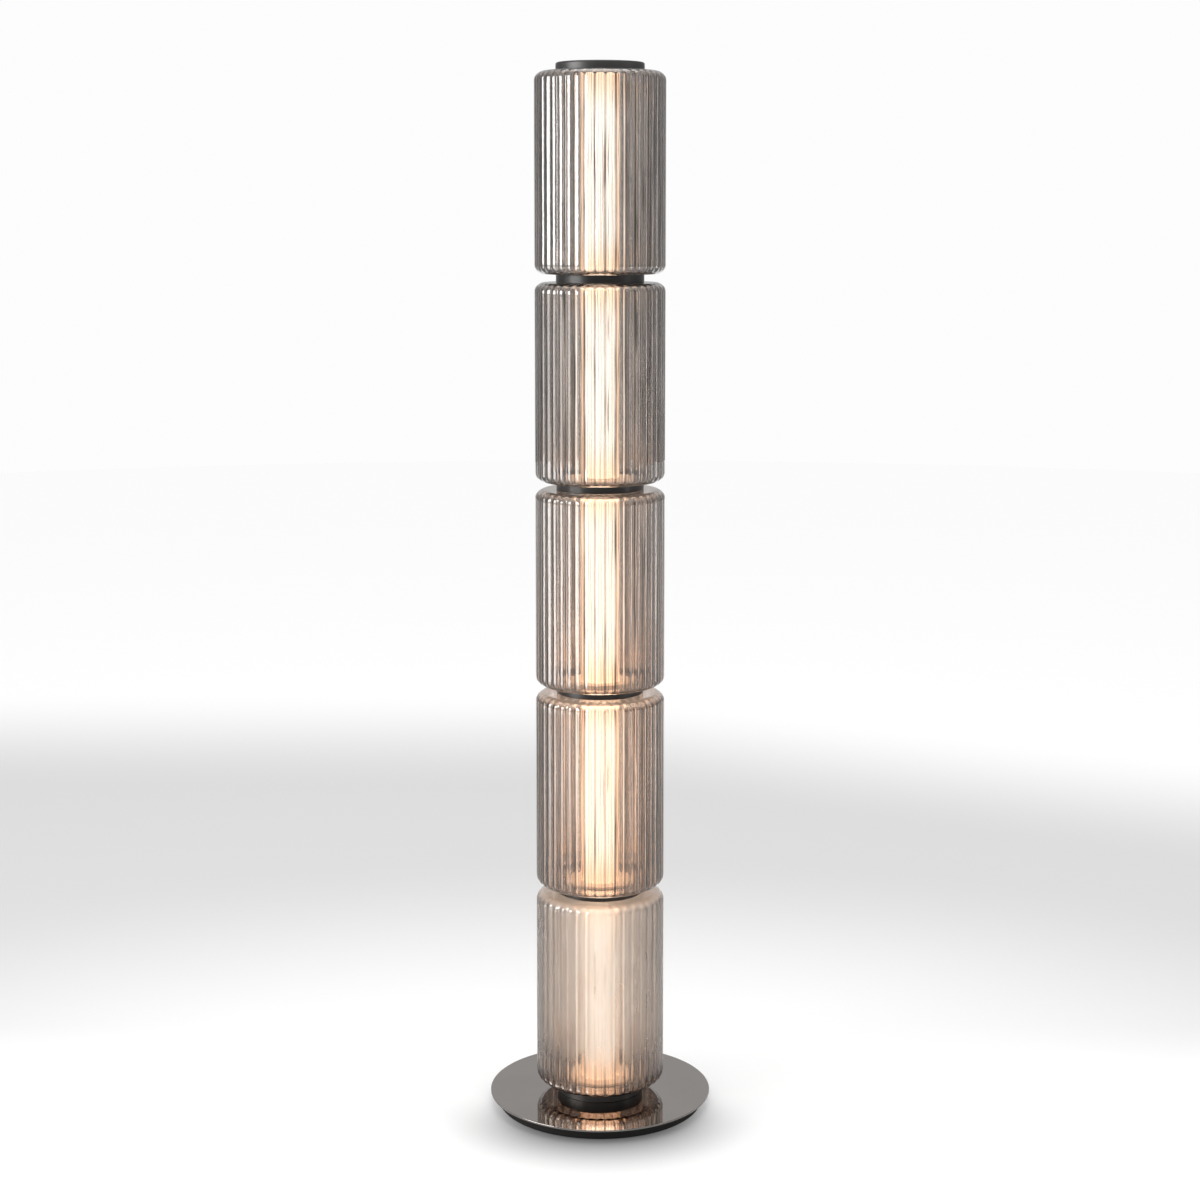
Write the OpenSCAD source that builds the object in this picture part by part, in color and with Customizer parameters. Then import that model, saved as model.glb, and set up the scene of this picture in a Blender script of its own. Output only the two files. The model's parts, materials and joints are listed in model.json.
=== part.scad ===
// Floor lamp built as a column of ribbed glass shades on a polished disc.
// Lengths are in millimetres. The lamp stands on z = 0 around the z axis,
// and its front faces -y, so the cord inlet at the back faces +y.

/* [Glass shades] */
// Diameter of a shade over the backs of its ribs
glass_d = 200; // [172:1:260]
// Height of one shade
glass_h = 305; // [150:1:420]
// Thickness of the glass at the floor of the grooves
glass_wall = 3.5; // [2.5:0.1:5]
// Radius of the rounded shoulder at both ends of a shade
shoulder_r = 12; // [7:0.5:20]
// Diameter of the round neck opening at both ends of a shade
neck_d = 108; // [90:1:116]
// Number of ribs around a shade
rib_count = 40; // [28:1:56]
// Height of a rib above the floor of the grooves
rib_depth = 2.3; // [1.2:0.1:3.5]

/* [Collars] */
// Diameter of the collars, of the base collar and of the cap
collar_d = 135; // [127:1:158]
// Space between two shades, filled by a collar
collar_gap = 13; // [11:0.5:24]
// Space between the polished disc and the lowest shade
base_collar_h = 18; // [14:0.5:40]
// Rounding of the visible edges of the collars
collar_edge_r = 0.8; // [0.3:0.1:2]
// How far the round boss of a collar reaches into a neck
boss_h = 6; // [3:0.5:12]
// Diameter of the hub that the light core stands on
hub_d = 26; // [24:1:30]
// Diameter of the hole that the feed cable passes through
wire_hole_d = 7; // [5:0.5:9]
// Distance from the lamp's axis to the feed cable
wire_r = 20; // [18:0.5:24]

/* [Cap] */
// Height of the cap above the glass it covers
cap_h = 13; // [12.5:0.5:30]
// Wall of the cap's side
cap_wall = 2; // [1.5:0.1:3]
// Thickness of the cap's top
cap_top_t = 2.3; // [1.5:0.1:2.5]
// Rounding of the cap's upper edge
cap_edge_r = 3; // [1:0.1:4]

/* [Light tube] */
// Outer diameter of the opal light tube
tube_d = 64; // [58:1:76]
// Wall of the opal light tube
tube_wall = 2; // [1.5:0.1:3]
// How far the light tube runs past each end of its shade
tube_seat = 4.5; // [4:0.1:5]
// Width across the flats of the aluminium light core
core_w = 22; // [18:0.5:23]
// Width of one tape of light emitters
tape_w = 10; // [8:0.5:12]
// Number of emitters on one tape
emitter_count = 12; // [6:1:18]
// Width of one emitter
emitter_w = 5; // [2:0.1:7]

/* [Tie rod] */
// Outer diameter of the hollow tie rod
rod_d = 10; // [8:0.5:10.5]
// Bore of the tie rod
rod_bore = 6; // [4:0.5:7]
// Width across the flats of the nuts on the tie rod
nut_w = 17; // [15:0.5:19]
// Thickness of the nuts on the tie rod
nut_t = 3; // [2:0.1:3.2]

/* [Base] */
// Diameter of the polished disc
disc_d = 347; // [320:1:420]
// Thickness of the polished disc
disc_t = 3; // [2:0.5:6]
// How far the disc stands out past the ballast
disc_overhang = 13; // [4:1:20]
// Height of the iron ballast
ballast_h = 16.5; // [15.5:0.5:30]
// Rounding of the ballast's lower edge
ballast_edge_r = 1.5; // [0.5:0.1:3]
// Thickness of the ring that the lamp stands on
pad_t = 1.5; // [1.4:0.1:4]
// Width of the ring that the lamp stands on
pad_w = 28; // [8:1:30]
// Diameter of the plate that closes the ballast from below
cover_d = 229; // [216:1:232]
// Thickness of that plate
cover_t = 1; // [0.6:0.1:1.5]

/* [Driver and cord inlet] */
// Length of the light driver in the ballast
driver_l = 110; // [60:1:124]
// Width of the light driver
driver_w = 44; // [30:1:46]
// Height of the light driver
driver_h = 11; // [6:0.5:11]
// Diameter of the cord that the inlet takes
cord_d = 6; // [4:0.1:7]

/* [Hidden] */

// Number of shades in the column, numbered from the floor up
shade_count = 5;

// Overrun of a cut past the face it opens
cut = 1;
// Clearance round a screw shank, the tie rod and other loose fits
loose_fit = 0.25;
// Clearance between curved faces that nearly touch
close_fit = 0.1;
// Space between the edge of a collar and the glass, so that metal never meets glass
edge_clear = 0.3;
// Space left for the light tube to grow when it is warm
tube_growth = 0.5;

// Shades
glass_r = glass_d / 2;
core_r = glass_r - rib_depth;
neck_r = neck_d / 2;
// Depth at which neighbouring ribs would meet below the floor of the grooves
rib_root_sink = 0.2;
rib_half_pitch = 180 / rib_count;
rib_root_r = core_r - rib_root_sink;
rib_rise = glass_r - rib_root_r * cos(rib_half_pitch);
rib_half_w = rib_root_r * sin(rib_half_pitch);
// Round back of a rib: the circle through its crest and the two lines where it meets its neighbours
rib_r = (rib_rise * rib_rise + rib_half_w * rib_half_w) / (2 * rib_rise);
// How far the curve that ends the ribs would stand out past their backs
rib_run_out = 1;
// Bevel of the neck's edge
neck_edge = 0.6;

// Collars and gaskets
collar_r = collar_d / 2;
web_t = collar_gap - 2 * tube_seat;
neck_clear = 0.5;
boss_r = neck_r - neck_clear;
hub_r = hub_d / 2;
hub_rise = 2;
hub_z = tube_seat - hub_rise;
gasket_t = 1.5;
gasket_lip = 1;
gasket_in_r = neck_r + 2 * neck_clear + gasket_lip;
plate_r = collar_r - cap_wall - loose_fit;
gasket_out_r = plate_r - gasket_lip - loose_fit;
wire_hole_count = 3;

// Light tube, core and tapes
tube_r = tube_d / 2;
tube_pocket_r = tube_r + loose_fit;
core_bore_r = rod_d / 2 + 2 * loose_fit;
core_edge = 2;
core_h = glass_h + 2 * hub_z;
tape_t = 0.6;
tape_inset = 6;
emitter_t = 1.4;

// Tie rod, nuts and washers
rod_r = rod_d / 2;
rod_hole_r = rod_r + loose_fit;
rod_tip = 0.4;
rod_edge = 0.5;
washer_r = 11;
upper_washer_t = 1;
lower_washer_t = 2;
upper_hub_t = 2.5;
plate_web_t = 3;
plate_top = tube_seat + plate_web_t;
nut_seat_top = hub_z + upper_hub_t;
nut_recess_r = washer_r + 2 * loose_fit;

// Cap and the rubber ring that holds it
cap_in_r = collar_r - cap_wall;
cap_in_z = cap_h - cap_top_t;
cap_rest_r = neck_r + gasket_lip;
cap_rest_w = 4;
ring_t = 1.7;
ring_z = edge_clear + ring_t + gasket_lip;
ring_mid_r = cap_in_r - close_fit - ring_t / 2;

// Base
disc_r = disc_d / 2;
disc_edge_r = 0.6;
ballast_r = disc_r - disc_overhang;
// Distance of the pad from the edge of the ballast
pad_inset = 6;
pad_out_r = ballast_r - pad_inset;
pad_in_r = pad_out_r - pad_w;
ballast_top = pad_t + ballast_h;
disc_top = ballast_top + disc_t;
cover_r = cover_d / 2;
cover_top = pad_t + cover_t;
rod_bottom = cover_top + rod_tip;
// Room for a socket wrench round the nut and its washer
wrench_clear = 6;
nut_pocket_r = washer_r + wrench_clear;
nut_pocket_top = rod_bottom + rod_tip + nut_t + lower_washer_t;

// Screws under the cover and under the base collar
cover_screw_count = 4;
cover_screw_angle = 45;
cover_screw_inset = 9;
cover_screw_r = cover_r - cover_screw_inset;
cover_screw_d = 4;
cover_screw_l = 9;
cover_head_r = 3.6;
cover_head_t = 1.1;
base_screw_count = 3;
// The first of the base screws stands at the front of the lamp
first_screw_angle = -90;
rear_screw_angle = first_screw_angle + 360 / base_screw_count;
base_screw_d = 5;
base_screw_inset = 8.5;
base_screw_r = collar_r - base_screw_inset;
base_screw_grip = 8;
base_head_r = 4.25;
base_head_t = 3.5;
base_head_top = cover_top + rod_tip + base_head_t;
socket_w = 4;
socket_depth = 2;

// Driver, feed cable and cord inlet
driver_corner_r = 3;
driver_clear = 1;
pocket_y = base_screw_r * sin(rear_screw_angle) + base_head_r + 3 * driver_clear + driver_corner_r;
driver_y = pocket_y + driver_clear + driver_w / 2;
driver_foot_w = 8;
driver_foot_t = 2;
pocket_top = cover_top + driver_h + driver_clear / 2;
channel_w = wire_hole_d + driver_clear;
cable_d = 4;
cable_bend = 2 * cable_d;
cable_z = cover_top + cable_d + driver_clear;
cable_end = 20;
gland_wall = 2;
gland_flange = 1.5;
gland_flange_t = 1.5;
gland_l = 10;
cord_clear = 0.2;
gland_bore_r = cord_d / 2 + cord_clear;
gland_r = gland_bore_r + gland_wall;
gland_z = pad_t + ballast_h / 2;
gland_face = ballast_r - gland_flange_t;
inlet_r = gland_r - gland_wall / 2;

// Height of the foot of a shade, and of its head, above the floor
function shade_foot(i) = disc_top + base_collar_h + i * (glass_h + collar_gap);
function shade_head(i) = shade_foot(i) + glass_h;
column_top = shade_head(shade_count - 1);

// Half outline of a drum: a rectangle on the axis with its two outer corners rounded
module drum_outline(r, h, low_r, high_r) {
    square([r - low_r, h / 2]);
    translate([0, h / 2]) square([r - high_r, h / 2]);
    translate([0, low_r]) square([r, h - low_r - high_r]);
    translate([r - low_r, low_r]) circle(r = low_r, $fn = 48);
    translate([r - high_r, h - high_r]) circle(r = high_r, $fn = 48);
}

// Half outline of a ring between two radii and two heights
module ring_outline(in_r, out_r, low, high) {
    translate([in_r, low]) square([out_r - in_r, high - low]);
}

// Solid of revolution with the fineness that a visible piece needs
module turned() {
    rotate_extrude($fn = 128) children();
}

// Copies of a piece spread evenly round the axis
module around(count, start = 0) {
    for (k = [0 : count - 1]) rotate([0, 0, start + k * 360 / count]) children();
}

// Rectangle with round corners, centred on its place
module round_rectangle(w, l, r) {
    square([w - 2 * r, l], center = true);
    square([w, l - 2 * r], center = true);
    for (x = [-1, 1], y = [-1, 1]) translate([x * (w / 2 - r), y * (l / 2 - r)]) circle(r = r, $fn = 32);
}

// Cross-section of a shade's outside: a circle with round-backed ribs that meet in narrow grooves
module rib_outline() {
    circle(r = core_r, $fn = 128);
    for (k = [0 : rib_count - 1]) rotate(k * 360 / rib_count)
        translate([glass_r - rib_r, 0]) circle(r = rib_r, $fn = 96);
}

// What is blown out of a shade: an even cavity with rounded shoulders, and a neck at both ends
module cavity_outline() {
    translate([0, glass_wall]) drum_outline(core_r - glass_wall, glass_h - 2 * glass_wall,
        shoulder_r - glass_wall, shoulder_r - glass_wall);
    ring_outline(0, neck_r, -cut, glass_h + cut);
    for (end = [0, 1]) translate([0, end * glass_h]) mirror([0, end])
        polygon([[neck_r - cut, -cut], [neck_r + neck_edge + cut, -cut], [neck_r - cut, neck_edge + cut]]);
}

// Ribbed shade: the ribs run the whole height and die out on the rounded shoulders
module glass_shade(i) {
    color("#7d7773", 0.5) translate([0, 0, shade_foot(i)]) difference() {
        intersection() {
            linear_extrude(glass_h) rib_outline();
            turned() drum_outline(glass_r + rib_run_out, glass_h,
                shoulder_r + rib_depth + rib_run_out, shoulder_r + rib_depth + rib_run_out);
        }
        turned() cavity_outline();
    }
}

// What is turned out of a collar for the end of one shade, drawn for a shade that ends at z = 0 and lies
// below: the pocket of the light tube, round the hub that the light core stands on, and the gasket's recess
module seat_outline() {
    ring_outline(0, tube_pocket_r, -boss_h - cut, hub_z);
    ring_outline(hub_r, tube_pocket_r, 0, tube_seat);
    ring_outline(gasket_in_r - loose_fit, gasket_out_r + loose_fit, 0, gasket_t);
}

// The children, and their mirror image about the middle of a collar
module both_faces() {
    children();
    translate([0, collar_gap]) mirror([0, 1]) children();
}

module collar(i) {
    color("#2a2a2b") translate([0, 0, shade_head(i)]) difference() {
        turned() difference() {
            union() {
                translate([0, edge_clear])
                    drum_outline(collar_r, collar_gap - 2 * edge_clear, collar_edge_r, collar_edge_r);
                ring_outline(0, boss_r, -boss_h, collar_gap + boss_h);
            }
            both_faces() seat_outline();
            ring_outline(0, rod_hole_r, -cut, collar_gap + cut);
        }
        wire_holes(tube_seat, web_t);
    }
}

// Holes for the feed cable and for the leads that branch off it
module wire_holes(z, depth) {
    around(wire_hole_count) translate([0, wire_r, z - cut])
        cylinder(d = wire_hole_d, h = depth + 2 * cut, $fn = 32);
}

module base_collar() {
    color("#232324") translate([0, 0, shade_foot(0)]) difference() {
        turned() difference() {
            union() {
                translate([0, -base_collar_h])
                    drum_outline(collar_r, base_collar_h - edge_clear, collar_edge_r, collar_edge_r);
                ring_outline(0, boss_r, -base_collar_h / 2, boss_h);
            }
            mirror([0, 1]) seat_outline();
            ring_outline(hub_r, tube_pocket_r, -base_collar_h - cut, -tube_seat - web_t);
            ring_outline(0, rod_hole_r, -base_collar_h - cut, 0);
        }
        wire_holes(-tube_seat - web_t, web_t);
        around(base_screw_count, first_screw_angle) translate([base_screw_r, 0, -base_collar_h - cut])
            cylinder(d = base_screw_d, h = base_screw_grip + 2 * cut, $fn = 32);
    }
}

module top_plate() {
    color("#3a3a3b") translate([0, 0, column_top]) turned() difference() {
        union() {
            ring_outline(0, plate_r, edge_clear, plate_top);
            ring_outline(0, boss_r, -boss_h, tube_seat);
        }
        seat_outline();
        ring_outline(0, rod_hole_r, 0, plate_top + cut);
        ring_outline(0, nut_recess_r, nut_seat_top, plate_top + cut);
        ring_outline(ring_mid_r - ring_t / 2 - close_fit, plate_r + cut,
            ring_z - ring_t / 2 - close_fit, ring_z + ring_t / 2 + close_fit);
    }
}

module cap_ring() {
    color("#1b1b1b") translate([0, 0, column_top + ring_z]) turned()
        translate([ring_mid_r, 0]) circle(d = ring_t, $fn = 32);
}

module top_cap() {
    color("#303031") translate([0, 0, column_top]) turned() {
        difference() {
            translate([0, edge_clear]) drum_outline(collar_r, cap_h - edge_clear, collar_edge_r, cap_edge_r);
            ring_outline(0, cap_in_r, 0, cap_in_z);
        }
        ring_outline(cap_rest_r, cap_rest_r + cap_rest_w, plate_top, cap_in_z + cap_top_t / 2);
    }
}

// Flat ring between the end of a shade and the recess of a collar
module gasket(z) {
    color("#d8d6d0") translate([0, 0, z]) difference() {
        cylinder(r = gasket_out_r, h = gasket_t, $fn = 128);
        translate([0, 0, -cut]) cylinder(r = gasket_in_r, h = gasket_t + 2 * cut, $fn = 128);
    }
}

module lower_gasket(i) { gasket(shade_foot(i) - gasket_t); }

module upper_gasket(i) { gasket(shade_head(i)); }

module light_tube(i) {
    color("#fff1d8") translate([0, 0, shade_foot(i) - tube_seat]) difference() {
        cylinder(r = tube_r, h = glass_h + 2 * tube_seat - tube_growth, $fn = 128);
        translate([0, 0, -cut])
            cylinder(r = tube_r - tube_wall, h = glass_h + 2 * tube_seat + cut, $fn = 128);
    }
}

// Square aluminium profile that carries the tapes, cools them and spaces the collars apart
module led_core(i) {
    color("#b9bcc0") translate([0, 0, shade_foot(i) - hub_z]) linear_extrude(core_h) difference() {
        round_rectangle(core_w, core_w, core_edge);
        circle(r = core_bore_r, $fn = 64);
    }
}

// Four tapes, one on each face of the core, each with its row of emitters
module led_tapes(i) {
    tape_l = glass_h - 2 * tape_inset;
    emitter_pitch = tape_l / emitter_count;
    color("#f4f0e2") translate([0, 0, shade_foot(i) + tape_inset]) around(4) {
        translate([core_w / 2, -tape_w / 2, 0]) cube([tape_t, tape_w, tape_l]);
        for (k = [0 : emitter_count - 1])
            translate([core_w / 2 + tape_t / 2, -emitter_w / 2, (k + 0.5) * emitter_pitch - emitter_w / 2])
                cube([tape_t / 2 + emitter_t, emitter_w, emitter_w]);
    }
}

module tie_rod() {
    color("#8c8f92") translate([0, 0, rod_bottom]) {
        rod_l = column_top + nut_seat_top + upper_washer_t + nut_t + rod_tip - rod_bottom;
        turned() difference() {
            drum_outline(rod_r, rod_l, rod_edge, rod_edge);
            ring_outline(0, rod_bore / 2, -cut, rod_l + cut);
        }
    }
}

// Hexagon nut with its bore
module hex_nut(z) {
    color("#9a9da0") translate([0, 0, z]) difference() {
        cylinder(d = nut_w / cos(30), h = nut_t, $fn = 6);
        translate([0, 0, -cut]) cylinder(r = rod_r + close_fit, h = nut_t + 2 * cut, $fn = 64);
    }
}

module flat_washer(z, thickness) {
    color("#a5a8ab") translate([0, 0, z]) difference() {
        cylinder(r = washer_r, h = thickness, $fn = 64);
        translate([0, 0, -cut]) cylinder(r = rod_hole_r, h = thickness + 2 * cut, $fn = 64);
    }
}

module lower_nut() { hex_nut(nut_pocket_top - lower_washer_t - nut_t); }

module lower_washer() { flat_washer(nut_pocket_top - lower_washer_t, lower_washer_t); }

module upper_washer() { flat_washer(column_top + nut_seat_top, upper_washer_t); }

module upper_nut() { hex_nut(column_top + nut_seat_top + upper_washer_t); }

module mirror_disc() {
    color("#8a8580") translate([0, 0, ballast_top]) difference() {
        turned() drum_outline(disc_r, disc_t, disc_edge_r, disc_edge_r);
        base_passages(0, disc_t);
    }
}

// Holes for the tie rod, the feed cable and the base screws between two heights
module base_passages(low, high) {
    translate([0, 0, low - cut]) {
        cylinder(r = rod_hole_r, h = high - low + 2 * cut, $fn = 64);
        translate([0, wire_r, 0]) cylinder(d = wire_hole_d, h = high - low + 2 * cut, $fn = 32);
        around(base_screw_count, first_screw_angle) translate([base_screw_r, 0, 0])
            cylinder(r = base_screw_d / 2 + loose_fit, h = high - low + 2 * cut, $fn = 32);
    }
}

// Iron ballast, hollowed from below for the driver, the feed cable and the nut
module ballast() {
    color("#1d1c1b") difference() {
        translate([0, 0, pad_t]) turned() drum_outline(ballast_r, ballast_h, ballast_edge_r, disc_edge_r);
        base_passages(pad_t, ballast_top);
        translate([0, 0, pad_t - cut]) {
            cylinder(r = cover_r + loose_fit, h = cover_t + cut, $fn = 128);
            cylinder(r = nut_pocket_r, h = nut_pocket_top - pad_t + cut, $fn = 64);
            translate([0, driver_y, 0]) linear_extrude(pocket_top - pad_t + cut)
                round_rectangle(driver_l + 2 * driver_clear, driver_w + 2 * driver_clear, driver_corner_r);
            translate([-channel_w / 2, 0, 0])
                cube([channel_w, pocket_y + driver_corner_r, pocket_top - pad_t + cut]);
            around(base_screw_count, first_screw_angle) translate([base_screw_r, 0, 0])
                cylinder(r = base_head_r + 2 * loose_fit, h = base_head_top - pad_t + cut, $fn = 48);
            around(cover_screw_count, cover_screw_angle) translate([cover_screw_r, 0, 0])
                cylinder(d = cover_screw_d, h = cover_screw_l + 2 * cut, $fn = 32);
        }
        translate([0, driver_y, gland_z]) rotate([-90, 0, 0]) {
            cylinder(r = inlet_r, h = ballast_r, $fn = 48);
            translate([0, 0, gland_face - gland_l - driver_y])
                cylinder(r = gland_r + close_fit, h = ballast_r, $fn = 48);
            translate([0, 0, gland_face - driver_y])
                cylinder(r = gland_r + gland_flange + close_fit, h = ballast_r, $fn = 48);
        }
    }
}

// Rubber bush that lines the cord's hole in the back of the ballast
module cord_gland() {
    color("#161616") translate([0, gland_face - gland_l, gland_z]) rotate([-90, 0, 0]) turned() difference() {
        union() {
            ring_outline(0, gland_r, 0, gland_l);
            ring_outline(0, gland_r + gland_flange, gland_l, gland_l + gland_flange_t);
        }
        ring_outline(0, gland_bore_r, -cut, gland_l + gland_flange_t + cut);
    }
}

// Driver in a moulded case with a foot along each end
module led_driver() {
    color("#e6e6e3") translate([0, driver_y, cover_top]) {
        linear_extrude(driver_h) round_rectangle(driver_l - 2 * driver_foot_w, driver_w, driver_corner_r);
        linear_extrude(driver_foot_t) round_rectangle(driver_l, driver_w, driver_corner_r);
    }
}

// Cable from the driver to the shades, up through the holes of the collars
module feed_cable() {
    color("#303030") {
        riser_z = cable_z + cable_bend;
        translate([0, wire_r, riser_z])
            cylinder(d = cable_d, h = shade_foot(shade_count - 1) + cable_end - riser_z, $fn = 32);
        translate([0, wire_r + cable_bend, cable_z]) rotate([-90, 0, 0])
            cylinder(d = cable_d, h = driver_y - driver_w / 2 - wire_r - cable_bend, $fn = 32);
        translate([0, wire_r + cable_bend, riser_z]) rotate([0, 90, 0]) rotate([0, 0, -90])
            rotate_extrude(angle = 90, $fn = 64) translate([cable_bend, 0]) circle(d = cable_d, $fn = 32);
    }
}

module bottom_cover() {
    color("#4a4a4a") translate([0, 0, pad_t]) difference() {
        cylinder(r = cover_r, h = cover_t, $fn = 128);
        around(cover_screw_count, cover_screw_angle) translate([cover_screw_r, 0, -cut])
            cylinder(r = cover_screw_d / 2 + loose_fit, h = cover_t + 2 * cut, $fn = 32);
    }
}

module cover_screws() {
    color("#8f9294") around(cover_screw_count, cover_screw_angle) translate([cover_screw_r, 0, pad_t]) {
        translate([0, 0, -cover_head_t]) cylinder(r = cover_head_r, h = cover_head_t, $fn = 32);
        cylinder(r = cover_screw_d / 2 - close_fit, h = cover_screw_l, $fn = 32);
    }
}

// Socket screw that stands on its head, with the top of the head at z = 0
module socket_screw(shank_l) {
    difference() {
        translate([0, 0, -base_head_t]) cylinder(r = base_head_r, h = base_head_t, $fn = 48);
        translate([0, 0, -base_head_t - cut])
            cylinder(d = socket_w / cos(30), h = socket_depth + cut, $fn = 6);
    }
    cylinder(r = base_screw_d / 2 - close_fit, h = shank_l, $fn = 32);
}

// Screws that hold the disc and the base collar to the ballast
module base_screws() {
    color("#8f9294") around(base_screw_count, first_screw_angle) translate([base_screw_r, 0, base_head_top])
        socket_screw(disc_top + base_screw_grip - base_head_top);
}

module floor_pad() {
    color("#3c3c3c") difference() {
        cylinder(r = pad_out_r, h = pad_t, $fn = 128);
        translate([0, 0, -cut]) cylinder(r = pad_in_r, h = pad_t + 2 * cut, $fn = 128);
    }
}

floor_pad();
cover_screws();
bottom_cover();
base_screws();
ballast();
cord_gland();
led_driver();
feed_cable();
mirror_disc();
base_collar();
lower_nut();
lower_washer();
tie_rod();
glass_shade(0);  // glass_shade_1
glass_shade(1);  // glass_shade_2
glass_shade(2);  // glass_shade_3
glass_shade(3);  // glass_shade_4
glass_shade(4);  // glass_shade_5
light_tube(0);  // light_tube_1
light_tube(1);  // light_tube_2
light_tube(2);  // light_tube_3
light_tube(3);  // light_tube_4
light_tube(4);  // light_tube_5
led_core(0);  // led_core_1
led_core(1);  // led_core_2
led_core(2);  // led_core_3
led_core(3);  // led_core_4
led_core(4);  // led_core_5
led_tapes(0);  // led_tapes_1
led_tapes(1);  // led_tapes_2
led_tapes(2);  // led_tapes_3
led_tapes(3);  // led_tapes_4
led_tapes(4);  // led_tapes_5
lower_gasket(0);  // lower_gasket_1
lower_gasket(1);  // lower_gasket_2
lower_gasket(2);  // lower_gasket_3
lower_gasket(3);  // lower_gasket_4
lower_gasket(4);  // lower_gasket_5
upper_gasket(0);  // upper_gasket_1
upper_gasket(1);  // upper_gasket_2
upper_gasket(2);  // upper_gasket_3
upper_gasket(3);  // upper_gasket_4
upper_gasket(4);  // upper_gasket_5
collar(0);  // collar_1
collar(1);  // collar_2
collar(2);  // collar_3
collar(3);  // collar_4
top_plate();
upper_washer();
upper_nut();
cap_ring();
top_cap();
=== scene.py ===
"""Looks of a column floor lamp: five ribbed shades of smoked glass on black collars over a thin mirror disc,
with a warm light tube up the middle of every shade.

Lengths are in metres and angles in radians, unless a name says otherwise. The lamp stands on z = 0
around the z axis, and its front faces -y.
"""

import json
import logging
import math
from dataclasses import dataclass
from enum import Enum
from functools import reduce

import bmesh
import bpy
from bpy.types import Material, Mesh, Node, NodeOutputs as Outputs, NodeSocket as Socket, NodeTree, Object
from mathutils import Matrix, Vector


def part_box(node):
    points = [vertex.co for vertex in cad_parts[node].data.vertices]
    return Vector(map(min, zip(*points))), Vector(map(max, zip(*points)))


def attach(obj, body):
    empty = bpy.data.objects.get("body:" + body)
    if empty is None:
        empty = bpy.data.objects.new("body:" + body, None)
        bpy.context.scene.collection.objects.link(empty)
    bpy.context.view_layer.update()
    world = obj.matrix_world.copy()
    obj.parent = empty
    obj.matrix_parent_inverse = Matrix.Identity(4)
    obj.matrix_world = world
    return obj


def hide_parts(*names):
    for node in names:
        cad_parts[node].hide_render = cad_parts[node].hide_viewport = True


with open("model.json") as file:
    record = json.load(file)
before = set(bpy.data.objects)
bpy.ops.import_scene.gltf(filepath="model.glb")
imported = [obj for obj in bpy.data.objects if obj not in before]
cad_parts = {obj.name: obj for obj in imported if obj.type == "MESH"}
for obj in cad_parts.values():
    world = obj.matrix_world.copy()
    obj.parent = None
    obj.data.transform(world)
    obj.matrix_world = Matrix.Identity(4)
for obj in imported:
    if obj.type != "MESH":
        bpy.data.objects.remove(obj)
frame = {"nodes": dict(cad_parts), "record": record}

log = logging.getLogger("column_floor_lamp")

Colour = tuple[float, float, float]
Place = tuple[float, float, float]
Span = tuple[float, float]
OutlinePoint = tuple[float, float, float, float]

BODY = "root"
WHITE: Colour = (1.0, 1.0, 1.0)
BLACK: Colour = (0.0, 0.0, 0.0)
UNIT: Span = (0.0, 1.0)
LEAST_DISTANCE = 0.001
# The lowest shade's haze, and the heights above its foot between which it sets in
HAZE = 0.42
HAZE_RISE: Span = (0.030, 0.085)


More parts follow.
